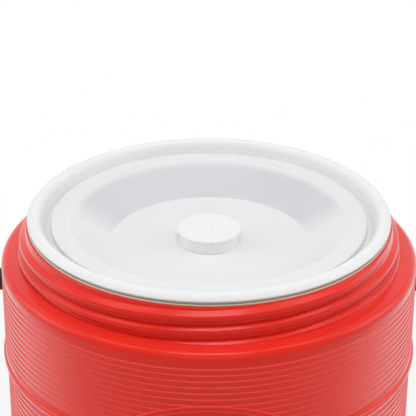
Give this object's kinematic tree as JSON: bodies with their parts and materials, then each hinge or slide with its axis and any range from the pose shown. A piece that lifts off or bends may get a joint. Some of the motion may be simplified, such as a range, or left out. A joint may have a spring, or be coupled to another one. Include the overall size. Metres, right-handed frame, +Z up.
{
  "type": "insulated beverage dispenser",
  "caption": "Round double-walled drink jug with ribbed body, threaded neck, lift-out inner lid with knob, swinging bail handle and a sprung press tap at the front.",
  "frame": {"origin": "centre of the base, on the surface that the jug stands on", "axes": "+Z up along the jug's axis, -Y to the front where the tap and the oval panel are, X through the handle's pivots"},
  "size_m": [0.2986, 0.3443, 0.35],
  "materials": {
    "red_shell": "semi-gloss moulded polyethylene, bright red",
    "white_liner": "satin food-grade polypropylene, warm white",
    "cream_seal": "matt soft seal, cream",
    "foam": "rigid polyurethane foam, pale yellow, hidden",
    "red_base": "satin moulded plastic, darker red",
    "black_plastic": "satin moulded plastic, black",
    "black_pin": "smooth moulded plastic, black",
    "white_lid": "satin polypropylene, cool white",
    "white_tap": "smooth moulded plastic, white",
    "grey_rubber": "matt silicone rubber, grey",
    "red_button": "smooth moulded plastic, red",
    "white_stem": "natural acetal, off-white",
    "spring_steel": "stainless spring wire"
  },
  "bodies": {
    "jug": {"outer_shell": "red_shell", "liner": "white_liner", "neck_seal": "cream_seal", "insulation_foam": "foam", "base_plate": "red_base", "foam_plug": "black_plastic", "left_pivot_pin": "black_pin", "right_pivot_pin": "black_pin", "tap_body": "white_tap", "tap_outer_gasket": "grey_rubber", "tap_inner_washer": "grey_rubber", "tap_nut": "white_tap", "tap_collar": "white_tap", "tap_o_ring": "grey_rubber"},
    "bail": {"bail_handle": "black_plastic"},
    "lid": {"inner_lid": "white_lid", "lid_knob": "white_lid"},
    "button": {"tap_button": "red_button", "tap_stem": "white_stem", "tap_valve_disc": "grey_rubber", "tap_spring": "spring_steel"}
  },
  "joints": [
    {"name": "bail_swing", "type": "hinge", "parent": "jug", "child": "bail", "pos_m": [0, 0, 0.297], "axis": [1, 0, 0], "range_deg": [0, 230]},
    {"name": "lid_lift", "type": "slide", "parent": "jug", "child": "lid", "axis": [0, 0, 1], "range_m": [0, 0.15]},
    {"name": "button_press", "type": "slide", "parent": "jug", "child": "button", "axis": [0, 0, -1], "range_m": [0, 0.005], "stiffness_N_per_m": 600, "springref_m": -0.003, "deforming": ["tap_spring"]}
  ]
}
